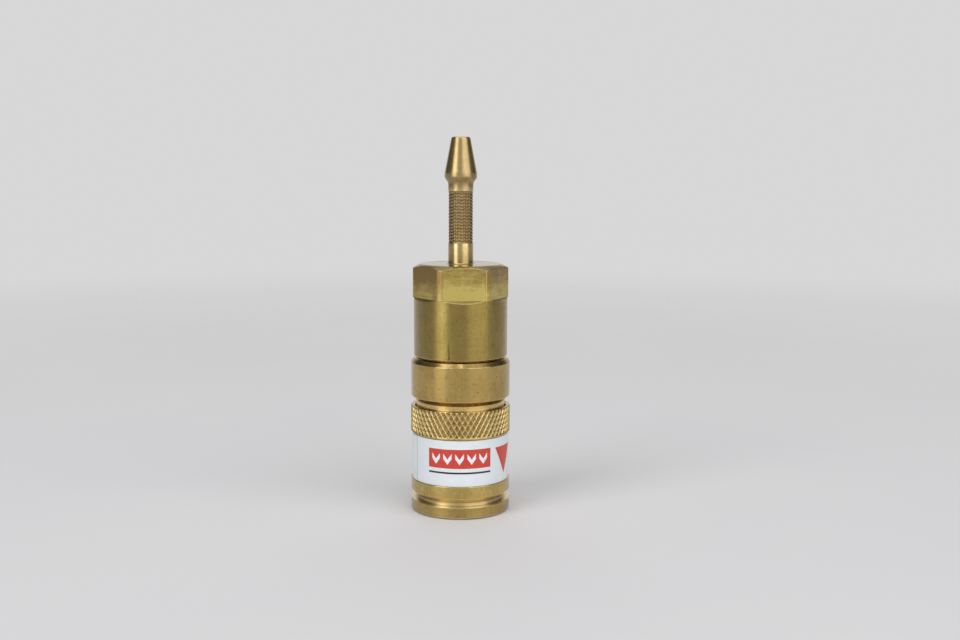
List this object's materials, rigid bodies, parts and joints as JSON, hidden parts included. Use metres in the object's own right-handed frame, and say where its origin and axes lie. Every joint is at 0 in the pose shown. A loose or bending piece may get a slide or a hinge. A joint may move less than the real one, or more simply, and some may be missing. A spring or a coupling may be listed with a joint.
{
  "type": "quick disconnect coupler",
  "caption": "Brass quick disconnect gas coupler with spring-loaded knurled release sleeve, ball-lock socket, shut-off and non-return valves, hex housing and barbed hose tail.",
  "frame": {"origin": "centre of the socket mouth's end face, on the turning axis; the coupler stands on this face", "axes": "+Z along the turning axis from the mouth to the hose tail's tip; -Y is the front, where the label's print is; the front flat of the hex faces 5.4 degrees from -Y towards +X"},
  "size_m": [0.022, 0.022, 0.0825],
  "materials": {
    "body_brass": "satin turned, lightly tarnished",
    "sleeve_brass": "satin turned, knurled band",
    "housing_brass": "satin turned, milled flats, lightly tarnished",
    "tail_brass": "bright turned",
    "valve_brass": "bright turned",
    "sintered_bronze": "rough sintered",
    "spring_steel": "drawn wire",
    "ball_steel": "polished",
    "black_steel": "phosphated",
    "seal_rubber": "smooth",
    "label": "printed film"
  },
  "bodies": {
    "coupler_body": {"coupling_body": "body_brass", "plug_seal": "seal_rubber", "shutoff_guide": "valve_brass", "guide_circlip": "black_steel", "housing_seal": "seal_rubber", "inlet_housing": "housing_brass", "hose_tail": "tail_brass", "inlet_filter": "sintered_bronze", "check_valve_seat": "valve_brass", "check_seat_seal": "seal_rubber", "check_valve_cage": "valve_brass", "check_valve_spring": "spring_steel", "shutoff_spring": "spring_steel"},
    "sleeve_rotor": {"sleeve_retaining_ring": "spring_steel", "sleeve_spring": "spring_steel"},
    "sleeve": {"release_sleeve": "sleeve_brass", "sleeve_label": "label"},
    "shutoff_valve": {"shutoff_valve": "valve_brass", "shutoff_valve_seal": "seal_rubber"},
    "check_valve": {"check_valve_poppet": "valve_brass", "check_valve_seal": "seal_rubber"},
    "ball_1": {"locking_ball_1": "ball_steel"},
    "ball_2": {"locking_ball_2": "ball_steel"},
    "ball_3": {"locking_ball_3": "ball_steel"},
    "ball_4": {"locking_ball_4": "ball_steel"},
    "ball_5": {"locking_ball_5": "ball_steel"},
    "ball_6": {"locking_ball_6": "ball_steel"}
  },
  "joints": [
    {"name": "sleeve_spin", "type": "hinge", "parent": "coupler_body", "child": "sleeve_rotor", "pos_m": [0, 0, 0.012], "axis": [0, 0, 1], "continuous": true},
    {"name": "sleeve_slide", "type": "slide", "parent": "sleeve_rotor", "child": "sleeve", "axis": [0, 0, 1], "range_m": [0, 0.0013], "stiffness_N_per_m": 3000, "springref_m": -0.0035, "deforming": ["sleeve_spring"]},
    {"name": "shutoff_valve_slide", "type": "slide", "parent": "coupler_body", "child": "shutoff_valve", "axis": [0, 0, 1], "range_m": [0, 0.0025], "stiffness_N_per_m": 1200, "springref_m": -0.004, "deforming": ["shutoff_spring"]},
    {"name": "check_valve_slide", "type": "slide", "parent": "coupler_body", "child": "check_valve", "axis": [0, 0, -1], "range_m": [0, 0.0012], "stiffness_N_per_m": 200, "springref_m": -0.004, "deforming": ["check_valve_spring"]},
    {"name": "ball_1_slide", "type": "slide", "parent": "coupler_body", "child": "ball_1", "axis": [1, 0, 0], "range_m": [0, 0.0005]},
    {"name": "ball_2_slide", "type": "slide", "parent": "coupler_body", "child": "ball_2", "axis": [0.5, 0.866, 0], "range_m": [0, 0.0005]},
    {"name": "ball_3_slide", "type": "slide", "parent": "coupler_body", "child": "ball_3", "axis": [-0.5, 0.866, 0], "range_m": [0, 0.0005]},
    {"name": "ball_4_slide", "type": "slide", "parent": "coupler_body", "child": "ball_4", "axis": [-1, 0, 0], "range_m": [0, 0.0005]},
    {"name": "ball_5_slide", "type": "slide", "parent": "coupler_body", "child": "ball_5", "axis": [-0.5, -0.866, 0], "range_m": [0, 0.0005]},
    {"name": "ball_6_slide", "type": "slide", "parent": "coupler_body", "child": "ball_6", "axis": [0.5, -0.866, 0], "range_m": [0, 0.0005]}
  ],
  "couplings": [
    {"joint": "ball_1_slide", "follows": "sleeve_slide", "ratio": 0.364},
    {"joint": "ball_2_slide", "follows": "sleeve_slide", "ratio": 0.364},
    {"joint": "ball_3_slide", "follows": "sleeve_slide", "ratio": 0.364},
    {"joint": "ball_4_slide", "follows": "sleeve_slide", "ratio": 0.364},
    {"joint": "ball_5_slide", "follows": "sleeve_slide", "ratio": 0.364},
    {"joint": "ball_6_slide", "follows": "sleeve_slide", "ratio": 0.364}
  ]
}
